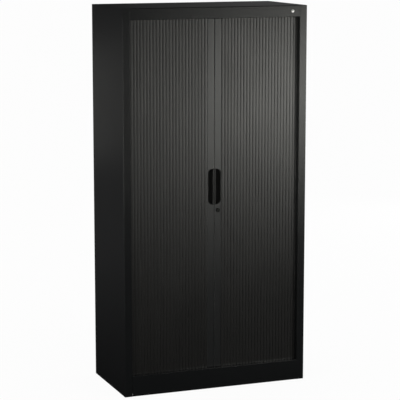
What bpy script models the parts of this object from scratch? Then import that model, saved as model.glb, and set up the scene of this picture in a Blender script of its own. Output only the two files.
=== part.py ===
# Side-opening tambour door cabinet of folded steel sheet.
# Metres, +Z up. The front faces -Y and the origin lies on the floor under the middle.
# Paired pieces are worked out for the right-hand side (+X) and mirrored for the left.
import math

import bmesh
import bpy
from mathutils import Matrix, Vector

# Whole cabinet
OVERALL_WIDTH = 1.0
OVERALL_DEPTH = 0.5
OVERALL_HEIGHT = 1.98

# Fits and cuts
SEAT_GAP = 0.0003
CUT_OVERRUN = 0.002

# Folded steel sheet
SHEET = 0.001
BACK_SHEET = 0.0008
FOLD_RADIUS = 0.0016
FOLD_STEPS = 3

# Front frame: folded stiles, header and bottom rail
STILE_WIDTH = 0.04
HEADER_HEIGHT = 0.059
RAIL_HEIGHT = 0.107
RAIL_FOOT = 0.018
FRAME_RETURN = 0.0267
SIDE_BACK_FLANGE = 0.025

# Top panel, ceiling tray and floor tray
TOP_FLANGE = 0.015
CEILING_RISE = 0.0128
CEILING_FLANGE = 0.02
FLOOR_DROP = 0.0077
FLOOR_FLANGE = 0.024
FLOOR_HOLE_RADIUS = 0.007

# Back panel with two pressed swages
SWAGE_SPACING = 0.5
SWAGE_WIDTH = 0.03
SWAGE_SLOPE = 0.005
SWAGE_DEPTH = 0.003

# Liners with slot columns
LINER_INSET = 0.058
LINER_LIP = 0.012
LINER_BACK_FLANGE = 0.03
SLOT_PITCH = 0.06
SLOT_ROWS = 29
FIRST_SLOT_RISE = 0.08
SLOT_COLUMN_INSET = 0.05
SLOT_WIDTH = 0.004
SLOT_HEIGHT = 0.014

# Guide tracks, measured from the curtain's hinge line
TRACK_WALL = 0.0012
TIP_CLEARANCE = 0.0008
HINGE_CLEARANCE = 0.0016
CORNER_RADIUS = 0.028
CORNER_STEPS = 8
STOP_LENGTH = 0.006

# Tambour curtain
SLAT_PITCH = 0.0173
SLAT_DEPTH = 0.0058
HINGE_WEB = 0.0018
RIDGE_WIDTH = 0.015
RIDGE_STEPS = 6
RIDGE_BLUNTNESS = 0.5
LIFT_CLEARANCE = 0.004

# Leading posts
MEETING_GAP = 0.0012
POST_WIDTH = 0.0375
POST_DEPTH = 0.02
POST_WALL = 0.0015
POST_LIP = 0.006
POST_RADIUS = 0.0022
POST_CLEARANCE = 0.003

# Glide shoes in the ends of the posts
SHOE_INSERT = 0.02
SHOE_CAP = 0.001
SHOE_PLAY = 0.0004
SHOE_SETBACK = 0.003

# Finger pulls
PULL_HEIGHT_CENTRE = 1.06
PULL_LIP = 0.0078
PULL_WIDTH = 0.025
PULL_LENGTH = 0.182
PULL_CORNER = 0.023
PULL_CORNER_STEPS = 6
PULL_DEPTH = 0.0145
PULL_WALL = 0.0012
PULL_RIM = 0.001
PULL_RIM_THICKNESS = 0.0011
PULL_EDGE = 0.0005

# Lock in the right post, below its finger pull
LOCK_DROP = 0.032
LOCK_FLANGE_RADIUS = 0.0115
LOCK_FLANGE_THICKNESS = 0.0018
LOCK_FLANGE_CHAMFER = 0.0006
LOCK_BODY_RADIUS = 0.009
LOCK_BODY_LENGTH = 0.012
LOCK_END_WALL = 0.0015
PLUG_RADIUS = 0.006
PLUG_SETBACK = 0.0005
KEYWAY_WIDTH = 0.0012
KEYWAY_LENGTH = 0.0076
KEYWAY_DEPTH = 0.004
STEM_RADIUS = 0.003
STEM_STANDOUT = 0.0006
CAM_THICKNESS = 0.0025
CAM_HALF_WIDTH = 0.0055
CAM_HUB_STEPS = 8
BARB_LENGTH = 0.006
BARB_RISE = 0.0065
BARB_CLEARANCE = 0.001
HOOK_CLEARANCE = 0.002
NUT_THICKNESS = 0.0025
NUT_CORNER_RADIUS = 0.0058
NUT_SIDES = 6
STRIKER_SHEET = 0.0012
STRIKER_MARGIN = 0.008

# Shelves on clips
SHELF_SLOTS = (4, 10, 16, 22)
SHELF_EDGE = 0.028
SHELF_RETURN = 0.012
SHELF_SIDE_CLEARANCE = 0.0015
SHELF_FRONT_CLEARANCE = 0.006
SHELF_BACK_CLEARANCE = 0.0012
CLIP_THICKNESS = 0.003
CLIP_REACH = 0.012
CLIP_EDGE = 0.003
CLIP_DROP = 0.018
TONGUE_HEIGHT = 0.006
HOOK_DROP = 0.005
HOOK_THICKNESS = 0.002

# Base channels and levelling feet
CHANNEL_SHEET = 0.002
CHANNEL_WIDTH = 0.1
CHANNEL_HEIGHT = 0.045
CHANNEL_RADIUS = 0.003
FOOT_SIDE_INSET = 0.08
FOOT_END_INSET = 0.035
FOOT_PAD_RADIUS = 0.015
FOOT_PAD_HEIGHT = 0.007
FOOT_PAD_EDGE = 0.001
FOOT_STEM_RADIUS = 0.005
FOOT_STEM_HEIGHT = 0.062
FOOT_SCREW_SLOT = 0.0016
FOOT_SCREW_SLOT_DEPTH = 0.003

# Blank badge on the header
BADGE_RADIUS = 0.0092
BADGE_THICKNESS = 0.0022
BADGE_EDGE = 0.0008
BADGE_SIDE_INSET = 0.081
BADGE_DROP = 0.029

# Faces on round pieces
ROUND_SEGMENTS = 20
SHARP_ANGLE = math.radians(35)

# Colour, roughness and metallic value of each finish
FINISHES = {
    "outer paint": ((0.012, 0.012, 0.0115), 0.38, 0.0),
    "inner paint": ((0.014, 0.014, 0.0135), 0.46, 0.0),
    "slat plastic": ((0.015, 0.015, 0.0143), 0.38, 0.0),
    "post paint": ((0.015, 0.015, 0.0143), 0.36, 0.0),
    "moulded plastic": ((0.005, 0.005, 0.005), 0.5, 0.0),
    "track plastic": ((0.01, 0.01, 0.01), 0.5, 0.0),
    "zinc": ((0.5, 0.5, 0.51), 0.34, 1.0),
    "dark nickel": ((0.06, 0.06, 0.06), 0.3, 1.0),
    "bright metal": ((0.6, 0.6, 0.6), 0.28, 1.0),
}

# Levels and planes worked out from the sizes above
half_width = OVERALL_WIDTH / 2
half_depth = OVERALL_DEPTH / 2
under_top = OVERALL_HEIGHT - SHEET - SEAT_GAP
header_low = OVERALL_HEIGHT - HEADER_HEIGHT
side_inner = half_width - SHEET
stile_inner = half_width - STILE_WIDTH
frame_back = -half_depth + FRAME_RETURN
back_inner = half_depth - SHEET - SEAT_GAP - BACK_SHEET
back_half_width = side_inner - FOLD_RADIUS
back_clear = back_inner - SWAGE_DEPTH - SEAT_GAP
floor_top = RAIL_HEIGHT - FLOOR_DROP
ceiling_low = header_low + CEILING_RISE
tray_half_width = side_inner - SEAT_GAP
tray_front = frame_back + SEAT_GAP

# The curtain's hinge line runs along the front, round the corner and back along the side
tip_line = tray_front + TRACK_WALL + TIP_CLEARANCE
hinge_front = tip_line + SLAT_DEPTH
hinge_side = side_inner - SEAT_GAP - TRACK_WALL - TIP_CLEARANCE - SLAT_DEPTH
track_back = hinge_front + HINGE_CLEARANCE + TRACK_WALL
corner_x = hinge_side - CORNER_RADIUS
corner_y = hinge_front + CORNER_RADIUS
channel_floor = floor_top + SEAT_GAP + TRACK_WALL
channel_ceiling = ceiling_low - SEAT_GAP - TRACK_WALL
curtain_low = channel_floor + SEAT_GAP
curtain_high = channel_ceiling - LIFT_CLEARANCE

# Posts, curtain length and travel
post_inner = MEETING_GAP / 2
post_outer = post_inner + POST_WIDTH
post_back = tip_line + POST_DEPTH
post_low = RAIL_HEIGHT + POST_CLEARANCE
post_high = header_low - POST_CLEARANCE
curtain_start = post_outer + SEAT_GAP
front_run = corner_x - curtain_start
corner_run = CORNER_RADIUS * math.pi / 2
slat_count = math.ceil((front_run + corner_run) / SLAT_PITCH)
tail_low = corner_y + slat_count * SLAT_PITCH - front_run - corner_run + SEAT_GAP
tail_high = tail_low + SLAT_PITCH
stop_low = back_clear - STOP_LENGTH
door_travel = stop_low - SEAT_GAP - tail_high

# Lock: the cam hangs down at rest and swings a quarter turn into the left post
lock_height = PULL_HEIGHT_CENTRE - PULL_LENGTH / 2 - LOCK_DROP
lock_x = (post_inner + post_outer) / 2
lock_front = tip_line - SEAT_GAP - LOCK_FLANGE_THICKNESS
housing_back = tip_line + LOCK_BODY_LENGTH
cam_front = housing_back + SEAT_GAP
cam_back = cam_front + CAM_THICKNESS
nut_back = cam_back + SEAT_GAP + NUT_THICKNESS
stem_bore = STEM_RADIUS + SEAT_GAP
striker_face = post_inner + POST_WALL + SEAT_GAP + STRIKER_SHEET
barb_start = lock_x + striker_face + BARB_CLEARANCE
cam_reach = barb_start + BARB_LENGTH
cam_side_reach = CAM_HALF_WIDTH + BARB_RISE
cam_swing = math.hypot(cam_reach, cam_side_reach)
wall_reach = lock_x - post_inner - POST_WALL
hook_slot_low = lock_height - math.sqrt(cam_swing**2 - wall_reach**2) - HOOK_CLEARANCE
hook_slot_high = lock_height + CAM_HALF_WIDTH + HOOK_CLEARANCE

# Liners, shelves and feet
liner_face = half_width - LINER_INSET
liner_front = track_back + SEAT_GAP
slot_columns = {
    "front": liner_front + SLOT_COLUMN_INSET,
    "back": back_clear - SLOT_COLUMN_INSET,
}
channel_web = FOOT_PAD_HEIGHT + SEAT_GAP
foot_x = tray_half_width - FOOT_SIDE_INSET
foot_rows = {
    "front": tray_front + FOOT_END_INSET,
    "back": back_clear - FOOT_END_INSET,
}
SIDES = {"left": -1, "right": 1}


def clear_scene():
    for thing in list(bpy.data.objects):
        bpy.data.objects.remove(thing, do_unlink=True)


def make_material(name, finish):
    colour, roughness, metallic = FINISHES[finish]
    material = bpy.data.materials.new(name + "_finish")
    material.use_nodes = True
    shader = material.node_tree.nodes["Principled BSDF"]
    shader.inputs["Base Color"].default_value = (*colour, 1)
    shader.inputs["Roughness"].default_value = roughness
    shader.inputs["Metallic"].default_value = metallic
    material.diffuse_color = (*colour, 1)
    return material


def add_object(name, shape):
    """Turns a bmesh into a linked object with its faces pointing out."""
    bmesh.ops.recalc_face_normals(shape, faces=shape.faces)
    mesh = bpy.data.meshes.new(name)
    shape.to_mesh(mesh)
    shape.free()
    piece = bpy.data.objects.new(name, mesh)
    bpy.context.scene.collection.objects.link(piece)
    return piece


def add_piece(name, shape, finish):
    piece = add_object(name, shape)
    piece.data.shade_smooth()
    piece.data.set_sharp_from_angle(angle=SHARP_ANGLE)
    piece.data.materials.append(make_material(name, finish))
    return piece


def along(axis, u, v, w):
    """The point that lies w along the axis, with u and v across it in X, Y, Z order."""
    return {"X": (w, u, v), "Y": (u, w, v), "Z": (u, v, w)}[axis]


def skin(rings, closed=False):
    """A mesh over rings of equal length, capped at both ends or closed back on itself."""
    shape = bmesh.new()
    loops = [[shape.verts.new(point) for point in ring] for ring in rings]
    pairs = list(zip(loops, loops[1:]))
    if closed:
        pairs.append((loops[-1], loops[0]))
    else:
        shape.faces.new(loops[0])
        shape.faces.new(loops[-1])
    for here, there in pairs:
        for index in range(len(here)):
            after = (index + 1) % len(here)
            shape.faces.new((here[index], here[after], there[after], there[index]))
    return shape


def loft(name, rings, finish, closed=False):
    return add_piece(name, skin(rings, closed), finish)


def prism(name, outline, low, high, axis, finish):
    """A flat outline extruded along an axis."""
    shape = bmesh.new()
    face = shape.faces.new([shape.verts.new(along(axis, u, v, low)) for u, v in outline])
    raised = bmesh.ops.extrude_face_region(shape, geom=[face])
    tops = [item for item in raised["geom"] if isinstance(item, bmesh.types.BMVert)]
    bmesh.ops.translate(shape, verts=tops, vec=along(axis, 0, 0, high - low))
    return add_piece(name, shape, finish)


def rounded_line(corners, radius, steps):
    """Points and left-hand normals along an open line with its inner corners rounded."""
    line = [Vector(corner) for corner in corners]
    stations = []
    for index, corner in enumerate(line):
        before = line[max(index - 1, 0)]
        into = (corner - before if index else line[1] - corner).normalized()
        left = Vector((-into.y, into.x))
        if index in (0, len(line) - 1):
            stations.append((corner, left))
            continue
        out = (line[index + 1] - corner).normalized()
        turn = math.atan2(into.x * out.y - into.y * out.x, into.dot(out))
        start = corner - into * radius * math.tan(abs(turn) / 2)
        centre = start + left * math.copysign(radius, turn)
        for step in range(steps + 1):
            bend = Matrix.Rotation(turn * step / steps, 2)
            stations.append((centre + bend @ (start - centre), bend @ left))
    return stations


def folded(name, corners, low, high, axis, finish, sheet=SHEET, radius=FOLD_RADIUS, steps=FOLD_STEPS):
    """Sheet of even thickness folded along a middle line and extruded along an axis."""
    rings = []
    for point, left in rounded_line(corners, radius, steps):
        one = point + left * sheet / 2
        other = point - left * sheet / 2
        rings.append(
            [
                along(axis, *one, low),
                along(axis, *other, low),
                along(axis, *other, high),
                along(axis, *one, high),
            ]
        )
    return loft(name, rings, finish)


def mirrored(points, side):
    """Points whose first coordinate is X, on the right or mirrored to the left."""
    return [(side * point[0], *point[1:]) for point in points]


def rectangle(x_low, x_high, y_low, y_high, z):
    return [(x_low, y_low, z), (x_high, y_low, z), (x_high, y_high, z), (x_low, y_high, z)]


def chamfered(x_low, x_high, y_low, y_high, chamfer, z):
    """A rectangle with its corners cut off."""
    return [
        (x_low + chamfer, y_low, z),
        (x_high - chamfer, y_low, z),
        (x_high, y_low + chamfer, z),
        (x_high, y_high - chamfer, z),
        (x_high - chamfer, y_high, z),
        (x_low + chamfer, y_high, z),
        (x_low, y_high - chamfer, z),
        (x_low, y_low + chamfer, z),
    ]


def circle(axis, centre, radius, place, segments=ROUND_SEGMENTS):
    """A ring about a centre (two coordinates across the axis) at a place along it."""
    turns = [2 * math.pi * index / segments for index in range(segments)]
    return [
        along(axis, centre[0] + radius * math.cos(turn), centre[1] + radius * math.sin(turn), place)
        for turn in turns
    ]


def turned(name, axis, centre, profile, finish, closed=False):
    """A round piece from its profile of radius and place along the axis."""
    rings = [circle(axis, centre, radius, place) for radius, place in profile]
    return loft(name, rings, finish, closed)


def hide_helper(helper):
    helper.hide_render = True
    helper.display_type = "WIRE"
    return helper


def box_cutter(name, boxes):
    """One helper made of boxes, each given by its low and high corner."""
    shape = bmesh.new()
    for low, high in boxes:
        middle = (Vector(low) + Vector(high)) / 2
        size = Vector(high) - Vector(low)
        place = Matrix.Translation(middle) @ Matrix.Diagonal((*size, 1))
        bmesh.ops.create_cube(shape, size=1, matrix=place)
    return hide_helper(add_object(name, shape))


def round_cutter(name, axis, centres, radius, low, high):
    """One helper made of round pins of the same radius and length."""
    shape = bmesh.new()
    for centre in centres:
        pin = bpy.data.meshes.new(name)
        rings = [circle(axis, centre, radius, place) for place in (low, high)]
        skin(rings).to_mesh(pin)
        shape.from_mesh(pin)
        bpy.data.meshes.remove(pin)
    return hide_helper(add_object(name, shape))


def cut(piece, cutter):
    modifier = piece.modifiers.new(cutter.name, "BOOLEAN")
    modifier.operation = "DIFFERENCE"
    modifier.solver = "EXACT"
    modifier.object = cutter


def joint_axis(name, place):
    """An empty on a joint's axis, which the joint's pieces are parented to."""
    empty = bpy.data.objects.new(name, None)
    empty.location = place
    bpy.context.scene.collection.objects.link(empty)
    return empty


def carry(empty, pieces):
    for piece in pieces:
        piece.data.transform(Matrix.Translation(-empty.location))
        piece.parent = empty


# Carcass


def side_panel(name, side):
    """Side wall with a stile and its return folded at the front and a flange at the back."""
    wall = half_width - SHEET / 2
    stile = stile_inner + SHEET / 2
    corners = [
        (half_width - SIDE_BACK_FLANGE, half_depth - SHEET / 2),
        (wall, half_depth - SHEET / 2),
        (wall, -half_depth + SHEET / 2),
        (stile, -half_depth + SHEET / 2),
        (stile, frame_back),
    ]
    return folded(name, mirrored(corners, side), 0, under_top, "Z", "outer paint")


def header():
    """Fascia above the doors, folded back along its top and bottom."""
    face = -half_depth + SHEET / 2
    corners = [
        (frame_back, under_top - SHEET / 2),
        (face, under_top - SHEET / 2),
        (face, header_low + SHEET / 2),
        (frame_back, header_low + SHEET / 2),
    ]
    reach = stile_inner - SEAT_GAP
    return folded("header", corners, -reach, reach, "X", "outer paint")


def bottom_rail():
    """Rail below the doors: a ledge folded back on top and a short foot at the floor."""
    face = -half_depth + SHEET / 2
    corners = [
        (frame_back, RAIL_HEIGHT - SHEET / 2),
        (face, RAIL_HEIGHT - SHEET / 2),
        (face, SHEET / 2),
        (-half_depth + RAIL_FOOT, SHEET / 2),
    ]
    reach = stile_inner - SEAT_GAP
    return folded("bottom_rail", corners, -reach, reach, "X", "outer paint")


def tray_rings(reach, front, back, face, rim, inset):
    """A flat panel at height face whose edges are folded to height rim, seen as rings."""
    inner_face = face + math.copysign(inset, rim - face)
    return [
        rectangle(-reach, reach, front, back, face),
        rectangle(-reach, reach, front, back, rim),
        rectangle(-reach + inset, reach - inset, front + inset, back - inset, rim),
        rectangle(-reach + inset, reach - inset, front + inset, back - inset, inner_face),
    ]


def top_panel():
    """Sheet over the whole cabinet with four flanges that drop inside the walls."""
    rim = OVERALL_HEIGHT - TOP_FLANGE
    flanges = tray_rings(tray_half_width, tray_front, back_clear, OVERALL_HEIGHT - SHEET, rim, SHEET)
    flanges[-1] = [(x, y, OVERALL_HEIGHT - SHEET) for x, y, z in flanges[-1]]
    sheet_edge = [
        rectangle(-half_width, half_width, -half_depth, half_depth, height)
        for height in (OVERALL_HEIGHT, OVERALL_HEIGHT - SHEET)
    ]
    return loft("top_panel", sheet_edge + flanges, "outer paint")


def ceiling_tray():
    rings = tray_rings(
        tray_half_width, tray_front, back_clear, ceiling_low, ceiling_low + CEILING_FLANGE, SHEET
    )
    return loft("ceiling_tray", rings, "inner paint")


def floor_tray():
    """Tray that closes the bottom, with a hole over each levelling screw."""
    rings = tray_rings(
        tray_half_width, tray_front, back_clear, floor_top, floor_top - FLOOR_FLANGE, SHEET
    )
    tray = loft("floor_tray", rings, "inner paint")
    centres = [(side * foot_x, row) for side in SIDES.values() for row in foot_rows.values()]
    low = floor_top - SHEET - CUT_OVERRUN
    high = floor_top + CUT_OVERRUN
    cut(tray, round_cutter("floor_hole_cutter", "Z", centres, FLOOR_HOLE_RADIUS, low, high))
    return tray


def back_panel():
    """Flat back with two upright swages pressed inwards."""
    flat = back_inner + BACK_SHEET / 2
    corners = [(-back_half_width, flat)]
    for side in SIDES.values():
        middle = side * SWAGE_SPACING / 2
        corners += [
            (middle - SWAGE_WIDTH / 2, flat),
            (middle - SWAGE_WIDTH / 2 + SWAGE_SLOPE, flat - SWAGE_DEPTH),
            (middle + SWAGE_WIDTH / 2 - SWAGE_SLOPE, flat - SWAGE_DEPTH),
            (middle + SWAGE_WIDTH / 2, flat),
        ]
    corners.append((back_half_width, flat))
    return folded("back_panel", corners, 0, under_top, "Z", "outer paint", sheet=BACK_SHEET, steps=1)


def slot_low(row):
    return floor_top + FIRST_SLOT_RISE + row * SLOT_PITCH


def liner(name, side):
    """Upright between the shelves and the stored curtain, with two columns of slots."""
    middle = liner_face + SHEET / 2
    front = liner_front + SHEET / 2
    back = back_clear - SHEET / 2
    corners = [
        (middle + LINER_LIP, front),
        (middle, front),
        (middle, back),
        (middle + LINER_BACK_FLANGE, back),
    ]
    low = floor_top + SEAT_GAP
    high = ceiling_low - SEAT_GAP
    piece = folded(name, mirrored(corners, side), low, high, "Z", "inner paint")
    reach = sorted((side * (liner_face - CUT_OVERRUN), side * (liner_face + SHEET + CUT_OVERRUN)))
    boxes = []
    for column in slot_columns.values():
        for row in range(SLOT_ROWS):
            foot = slot_low(row)
            boxes.append(
                (
                    (reach[0], column - SLOT_WIDTH / 2, foot),
                    (reach[1], column + SLOT_WIDTH / 2, foot + SLOT_HEIGHT),
                )
            )
    cut(piece, box_cutter(name + "_slot_cutter", boxes))
    return piece


def track(name, side, floor, rim):
    """U-shaped guide swept along the front, round the corner and back along the side."""
    web = floor + math.copysign(TRACK_WALL, floor - rim)
    outer = SLAT_DEPTH + TIP_CLEARANCE
    section = [
        (outer + TRACK_WALL, web),
        (outer + TRACK_WALL, rim),
        (outer, rim),
        (outer, floor),
        (-HINGE_CLEARANCE, floor),
        (-HINGE_CLEARANCE, rim),
        (-HINGE_CLEARANCE - TRACK_WALL, rim),
        (-HINGE_CLEARANCE - TRACK_WALL, web),
    ]
    corners = [(SEAT_GAP / 2, hinge_front), (hinge_side, hinge_front), (hinge_side, back_clear)]
    rings = []
    for point, left in rounded_line(corners, CORNER_RADIUS, CORNER_STEPS):
        ring = [(*(point - left * outward), height) for outward, height in section]
        rings.append(mirrored(ring, side))
    return loft(name, rings, "track plastic")


def door_stop(name, side):
    """Block clipped into the rear end of a bottom track, where the tail bar comes to rest."""
    low_x = hinge_side - HINGE_CLEARANCE + SEAT_GAP
    high_x = hinge_side + SLAT_DEPTH + TIP_CLEARANCE - SEAT_GAP
    outline = mirrored(
        [(low_x, stop_low), (high_x, stop_low), (high_x, back_clear), (low_x, back_clear)], side
    )
    return prism(name, outline, channel_floor + SEAT_GAP, RAIL_HEIGHT, "Z", "moulded plastic")


# Tambour doors


def ridge(start, end):
    """The outer points of one slat between two hinge points: a web with a blunt, rounded ridge."""
    chord = (end - start).normalized()
    out = Vector((chord.y, -chord.x))
    middle = (start + end) / 2
    points = []
    for step in range(RIDGE_STEPS + 1):
        turn = math.pi * step / RIDGE_STEPS
        rise_share = max(math.sin(turn), 0) ** RIDGE_BLUNTNESS
        height = HINGE_WEB + (SLAT_DEPTH - HINGE_WEB) * rise_share
        points.append(middle - chord * math.cos(turn) * RIDGE_WIDTH / 2 + out * height)
    return points


def hinge_point(distance):
    """The point of the hinge line at a distance from the curtain's leading edge."""
    if distance <= front_run:
        return Vector((curtain_start + distance, hinge_front))
    if distance <= front_run + corner_run:
        turn = (distance - front_run) / CORNER_RADIUS
        return Vector(
            (corner_x + CORNER_RADIUS * math.sin(turn), corner_y - CORNER_RADIUS * math.cos(turn))
        )
    return Vector((hinge_side, corner_y + distance - front_run - corner_run))


def curtain(name, side):
    """Slats with living hinges between them, in one piece from the post to the tail bar."""
    hinges = [hinge_point(index * SLAT_PITCH) for index in range(slat_count + 1)]
    outline = [hinges[0] - Vector((0, HINGE_WEB))]
    for start, end in zip(hinges, hinges[1:]):
        outline += ridge(start, end)
    outline.append(hinges[-1] + Vector((HINGE_WEB, 0)))
    outline += reversed(hinges)
    outline = mirrored([tuple(point) for point in outline], side)
    return prism(name, outline, curtain_low, curtain_high, "Z", "slat plastic")


def tail_bar(name, side):
    """The curtain's last slat, stiff, in the side run of the tracks."""
    start = Vector((hinge_side, tail_low))
    end = Vector((hinge_side, tail_high))
    web = Vector((HINGE_WEB, 0))
    outline = [start + web, *ridge(start, end), end + web, end, start]
    outline = mirrored([tuple(point) for point in outline], side)
    return prism(name, outline, curtain_low, curtain_high, "Z", "slat plastic")


def pull_outline(low, high, half_length, corner, place):
    """D-shaped ring of a finger pull, straight towards the seam, round at its outer corners."""
    middle = high - corner
    points = [(low, place, PULL_HEIGHT_CENTRE - half_length)]
    for end in (-1, 1):
        for step in range(PULL_CORNER_STEPS + 1):
            turn = math.pi / 2 * (step / PULL_CORNER_STEPS - (end < 0))
            x = middle + corner * math.cos(turn)
            z = end * (half_length - corner) + corner * math.sin(turn)
            points.append((x, place, PULL_HEIGHT_CENTRE + z))
    points.append((low, place, PULL_HEIGHT_CENTRE + half_length))
    return points


def pull_ring(growth, place, lip=None):
    """The pull's mouth grown all round; lip puts the seam side at a place of its own."""
    mouth = post_inner + PULL_LIP
    low = mouth - growth if lip is None else lip
    high = mouth + PULL_WIDTH + growth
    return pull_outline(low, high, PULL_LENGTH / 2 + growth, PULL_CORNER + growth, place)


def pull_cutter(name, side):
    growth = PULL_WALL + SEAT_GAP
    rings = [
        mirrored(pull_ring(growth, place), side)
        for place in (tip_line - CUT_OVERRUN, tip_line + POST_WALL + CUT_OVERRUN)
    ]
    return hide_helper(add_object(name, skin(rings)))


def post(name, side, hook_cutter):
    """Hollow upright that leads a curtain: open at the back, with a hole for its pull."""
    inner = post_inner + POST_WALL / 2
    outer = post_outer - POST_WALL / 2
    front = tip_line + POST_WALL / 2
    back = post_back - POST_WALL / 2
    corners = [
        (outer - POST_LIP, back),
        (outer, back),
        (outer, front),
        (inner, front),
        (inner, back),
        (inner + POST_LIP, back),
    ]
    line = mirrored(corners, side)
    piece = folded(
        name, line, post_low, post_high, "Z", "post paint", sheet=POST_WALL, radius=POST_RADIUS
    )
    cut(piece, pull_cutter(name + "_pull_cutter", side))
    cut(piece, hook_cutter)
    return piece


def finger_pull(name, side):
    """Moulded cup with a thin rim and a lip wrapped over the post's edge at the seam."""
    rim_back = tip_line - SEAT_GAP
    rim_front = rim_back - PULL_RIM_THICKNESS
    floor = tip_line + PULL_DEPTH
    rim = PULL_WALL + SEAT_GAP + PULL_RIM
    rings = [
        pull_ring(PULL_WALL, floor + PULL_WALL),
        pull_ring(PULL_WALL, rim_back),
        pull_ring(rim, rim_back, lip=post_inner),
        pull_ring(rim, rim_front + PULL_EDGE, lip=post_inner),
        pull_ring(rim - PULL_EDGE, rim_front, lip=post_inner + PULL_EDGE),
        pull_ring(PULL_EDGE, rim_front),
        pull_ring(0, rim_front + PULL_EDGE),
        pull_ring(-PULL_EDGE, floor),
    ]
    return loft(name, [mirrored(ring, side) for ring in rings], "moulded plastic")


def shoe(name, side, post_end, channel_end):
    """End cap of a post: a plug inside it, a cap over its end and a tongue in the track."""
    reach = math.copysign(1, channel_end - post_end)
    wall = POST_WALL + SEAT_GAP
    seat = post_end + reach * SEAT_GAP
    cap_end = seat + reach * SHOE_CAP
    plug = (post_inner + wall, post_outer - wall, tip_line + wall, post_back - wall, POST_RADIUS)
    cap = (post_inner, post_outer, tip_line, post_back, POST_RADIUS)
    tongue = (
        post_inner + SHOE_SETBACK,
        post_outer - SHOE_SETBACK,
        tip_line + SHOE_PLAY,
        hinge_front,
        SHOE_PLAY,
    )
    rings = [
        chamfered(*plug, post_end - reach * SHOE_INSERT),
        chamfered(*plug, seat),
        chamfered(*cap, seat),
        chamfered(*cap, cap_end),
        chamfered(*tongue, cap_end),
        chamfered(*tongue, channel_end),
    ]
    return loft(name, [mirrored(ring, side) for ring in rings], "moulded plastic")


# Lock


def hook_slot(name, spread):
    """Helper through the meeting walls of both posts, where the cam swings across."""
    low = (-striker_face - CUT_OVERRUN, cam_front - spread, hook_slot_low)
    high = (post_inner + POST_WALL + CUT_OVERRUN, cam_back + spread, hook_slot_high)
    return box_cutter(name, [(low, high)])


def lock_housing():
    centre = (lock_x, lock_height)
    seat = tip_line - SEAT_GAP
    bore = PLUG_RADIUS + SEAT_GAP
    profile = [
        (bore, lock_front),
        (LOCK_FLANGE_RADIUS - LOCK_FLANGE_CHAMFER, lock_front),
        (LOCK_FLANGE_RADIUS, lock_front + LOCK_FLANGE_CHAMFER),
        (LOCK_FLANGE_RADIUS, seat),
        (LOCK_BODY_RADIUS, seat),
        (LOCK_BODY_RADIUS, housing_back),
        (stem_bore, housing_back),
        (stem_bore, housing_back - LOCK_END_WALL),
        (bore, housing_back - LOCK_END_WALL),
    ]
    return turned("lock_housing", "Y", centre, profile, "dark nickel", closed=True)


def lock_plug():
    """Plug with a keyway in its face and a stem that carries the cam."""
    centre = (lock_x, lock_height)
    face = lock_front + PLUG_SETBACK
    shoulder = housing_back - LOCK_END_WALL - SEAT_GAP
    profile = [
        (PLUG_RADIUS, face),
        (PLUG_RADIUS, shoulder),
        (STEM_RADIUS, shoulder),
        (STEM_RADIUS, nut_back + STEM_STANDOUT),
    ]
    plug = turned("lock_plug", "Y", centre, profile, "zinc")
    low = (lock_x - KEYWAY_WIDTH / 2, face - CUT_OVERRUN, lock_height - KEYWAY_LENGTH / 2)
    high = (lock_x + KEYWAY_WIDTH / 2, face + KEYWAY_DEPTH, lock_height + KEYWAY_LENGTH / 2)
    cut(plug, box_cutter("keyway_cutter", [(low, high)]))
    return plug


def lock_cam(stem_cutter):
    """Hook that hangs from the stem at rest, its barb towards the left post."""
    outline = [
        (lock_x + CAM_HALF_WIDTH, lock_height),
        (lock_x + CAM_HALF_WIDTH, lock_height - cam_reach),
        (lock_x - cam_side_reach, lock_height - cam_reach),
        (lock_x - cam_side_reach, lock_height - barb_start),
        (lock_x - CAM_HALF_WIDTH, lock_height - barb_start),
    ]
    for step in range(CAM_HUB_STEPS):
        turn = math.pi * (1 - step / CAM_HUB_STEPS)
        outline.append(
            (lock_x + CAM_HALF_WIDTH * math.cos(turn), lock_height + CAM_HALF_WIDTH * math.sin(turn))
        )
    cam = prism("lock_cam", outline, cam_front, cam_back, "Y", "zinc")
    cut(cam, stem_cutter)
    return cam


def lock_nut(stem_cutter):
    centre = (lock_x, lock_height)
    rings = [
        circle("Y", centre, NUT_CORNER_RADIUS, place, segments=NUT_SIDES)
        for place in (cam_back + SEAT_GAP, nut_back)
    ]
    nut = loft("lock_nut", rings, "zinc")
    cut(nut, stem_cutter)
    return nut


def striker_plate():
    """Plate inside the left post's meeting wall, with the slot that the hook catches."""
    low_y = tip_line + POST_WALL / 2 + POST_RADIUS
    high_y = post_back - POST_WALL / 2 - POST_RADIUS
    face = -striker_face
    back = -striker_face + STRIKER_SHEET
    outer = [
        (low_y, hook_slot_low - STRIKER_MARGIN),
        (high_y, hook_slot_low - STRIKER_MARGIN),
        (high_y, hook_slot_high + STRIKER_MARGIN),
        (low_y, hook_slot_high + STRIKER_MARGIN),
    ]
    spread = HOOK_CLEARANCE / 2
    inner = [
        (cam_front - spread, hook_slot_low),
        (cam_back + spread, hook_slot_low),
        (cam_back + spread, hook_slot_high),
        (cam_front - spread, hook_slot_high),
    ]
    rings = [
        [(x, *point) for point in outline]
        for x, outline in ((face, outer), (back, outer), (back, inner), (face, inner))
    ]
    return loft("striker_plate", rings, "zinc", closed=True)


# Shelves, base and badge


def ledge_height(slot_row):
    return slot_low(slot_row) + SEAT_GAP + TONGUE_HEIGHT


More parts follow.
